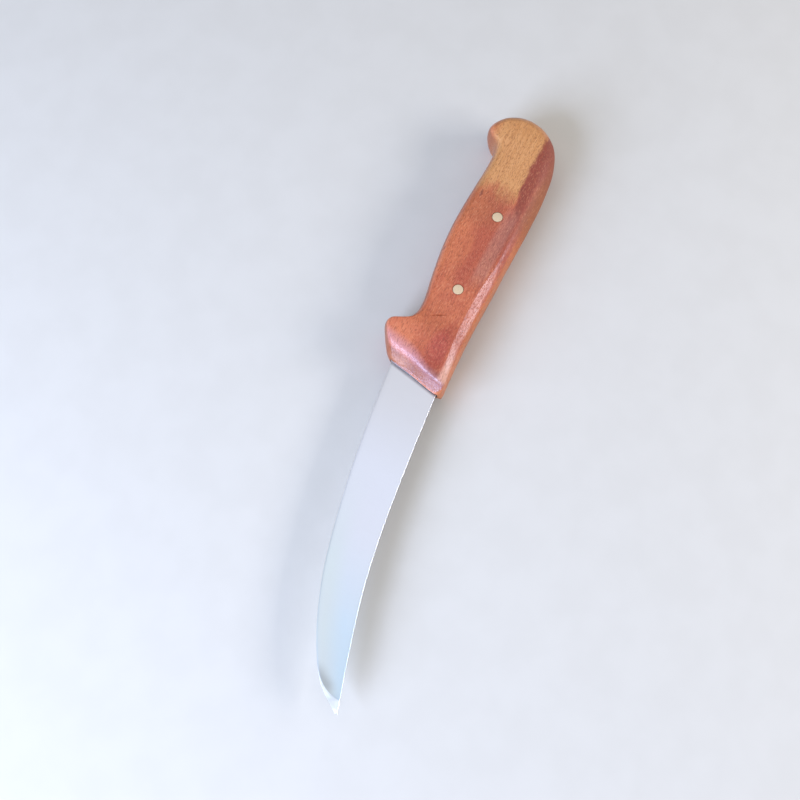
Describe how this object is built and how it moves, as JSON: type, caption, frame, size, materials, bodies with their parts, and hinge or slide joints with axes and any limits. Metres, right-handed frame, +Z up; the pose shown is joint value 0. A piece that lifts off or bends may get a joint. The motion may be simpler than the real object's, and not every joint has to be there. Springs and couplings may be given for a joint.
{
  "type": "boning knife",
  "caption": "Curved boning knife: slender upswept steel blade on a hidden tang, pinned into a carved hardwood handle with finger guard and butt hook.",
  "frame": {"origin": "on the surface that the knife lies on, under the middle of its bounding box", "axes": "+X from the butt to the blade's tip, +Y from the cutting edge to the back, +Z up, from the left side of the handle to the right side"},
  "size_m": [0.2652, 0.0592, 0.02],
  "materials": {
    "steel": "satin",
    "hardwood": "satin oil",
    "bedding_resin": "matte",
    "pin_metal": "satin"
  },
  "bodies": {
    "root": {"blade": "steel", "handle": "hardwood", "tang_bedding": "bedding_resin", "front_pin": "pin_metal", "rear_pin": "pin_metal"}
  },
  "joints": []
}
